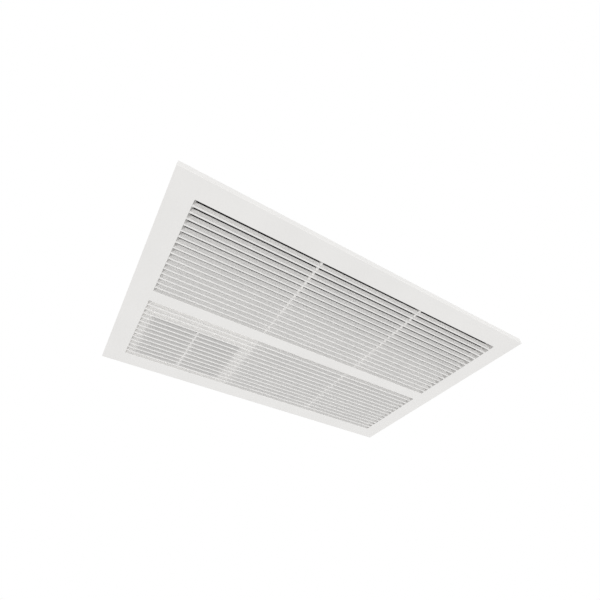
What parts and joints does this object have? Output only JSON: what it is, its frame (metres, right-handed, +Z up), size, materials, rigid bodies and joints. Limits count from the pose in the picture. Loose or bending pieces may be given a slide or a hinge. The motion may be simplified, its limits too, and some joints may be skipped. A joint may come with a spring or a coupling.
{
  "type": "ceiling mounted fan heater",
  "caption": "Recessed ceiling fan heater with a flush white linear bar grille panel that drops and swings down on a hinge rod for its filters.",
  "frame": {"origin": "centre of the panel's outline, in the plane of the ceiling", "axes": "+X along the grille bars, +Y from the wide return grille towards the warm air outlet, +Z up into the ceiling void"},
  "size_m": [0.9, 0.611, 0.3069],
  "materials": {
    "panel_paint": "white powder coat, satin",
    "bar_paint": "extruded aluminium, white powder coat, satin",
    "plate_paint": "white powder coat on sheet steel",
    "galvanised": "galvanised sheet, faint spangle",
    "zinc_plate": "bright zinc plate",
    "bare_steel": "bright turned steel",
    "filter_foam": "black open-cell filter foam",
    "foam_black": "black closed-cell foam",
    "lining_foam": "dark acoustic foam with a skin",
    "rubber_black": "moulded rubber",
    "nylon_natural": "natural nylon",
    "plastic_black": "moulded black plastic",
    "plastic_red": "moulded red plastic",
    "copper_winding": "varnished laminations and windings",
    "element_steel": "heat-darkened stainless steel"
  },
  "bodies": {
    "casing": {"casing_top": "galvanised", "casing_side_near": "galvanised", "casing_side_far": "galvanised", "casing_end_left": "galvanised", "casing_end_right": "galvanised", "sheet_metal_screws": "zinc_plate", "hanger_lugs": "zinc_plate", "acoustic_lining": "lining_foam", "link_guides": "nylon_natural", "magnetic_catches": "plastic_black", "scroll_wrapper": "galvanised", "scroll_side_left": "galvanised", "scroll_side_right": "galvanised", "inlet_rings": "galvanised", "blower_hangers": "galvanised", "motor_shell": "bare_steel", "stator_core": "copper_winding", "motor_bearings": "bare_steel", "motor_arms": "zinc_plate", "motor_grommets": "rubber_black", "heater_duct": "galvanised", "duct_gasket": "foam_black", "heating_elements": "element_steel", "terminal_cover": "plate_paint", "limit_thermostat": "plastic_black", "electrical_box": "galvanised", "electrical_box_ends": "galvanised", "electrical_lid": "galvanised", "terminal_block": "nylon_natural", "contactor": "plastic_black", "run_capacitor": "nylon_natural", "cutout_body": "plastic_black", "cable_gland": "plastic_black", "internal_leads": "plastic_black"},
    "drop_links": {"drop_links": "zinc_plate", "hinge_rod": "bare_steel", "hinge_rod_clips": "bare_steel"},
    "panel": {"panel_frame": "panel_paint", "return_grille_bars": "bar_paint", "outlet_grille_bars": "bar_paint", "grille_ribs": "bar_paint", "outlet_plate": "plate_paint", "outlet_divider": "plate_paint", "return_filter_frame": "plate_paint", "return_filter_media": "filter_foam", "side_filter_frame": "plate_paint", "side_filter_media": "filter_foam", "filter_hooks": "zinc_plate", "filter_clip_posts": "zinc_plate", "hinge_ears": "zinc_plate", "catch_strikes": "zinc_plate", "ceiling_seal": "foam_black"},
    "blower_rotor": {"blower_wheel": "galvanised", "wheel_hub": "bare_steel", "motor_shaft": "bare_steel", "rotor_core": "bare_steel"},
    "clip_left": {"filter_clip_left": "zinc_plate"},
    "clip_middle": {"filter_clip_middle": "zinc_plate"},
    "clip_right": {"filter_clip_right": "zinc_plate"},
    "reset_button": {"reset_button": "plastic_red"}
  },
  "joints": [
    {"name": "panel_drop", "type": "slide", "parent": "casing", "child": "drop_links", "axis": [0, 0, -1], "range_m": [0, 0.07]},
    {"name": "panel_swing", "type": "hinge", "parent": "drop_links", "child": "panel", "pos_m": [0, 0.275, 0.018], "axis": [1, 0, 0], "range_deg": [0, 90]},
    {"name": "filter_clip_left_turn", "type": "hinge", "parent": "panel", "child": "clip_left", "pos_m": [-0.3, 0.0185, 0.0151], "axis": [0, 0, 1], "range_deg": [0, 90]},
    {"name": "filter_clip_middle_turn", "type": "hinge", "parent": "panel", "child": "clip_middle", "pos_m": [0, 0.0185, 0.0151], "axis": [0, 0, 1], "range_deg": [0, 90]},
    {"name": "filter_clip_right_turn", "type": "hinge", "parent": "panel", "child": "clip_right", "pos_m": [0.3, 0.0185, 0.0151], "axis": [0, 0, 1], "range_deg": [0, 90]},
    {"name": "blower_spin", "type": "hinge", "parent": "casing", "child": "blower_rotor", "pos_m": [-0.265, 0.1042, 0.15], "axis": [1, 0, 0], "continuous": true},
    {"name": "reset_press", "type": "slide", "parent": "casing", "child": "reset_button", "axis": [0, 0, 1], "range_m": [0, 0.0025], "stiffness_N_per_m": 800}
  ]
}
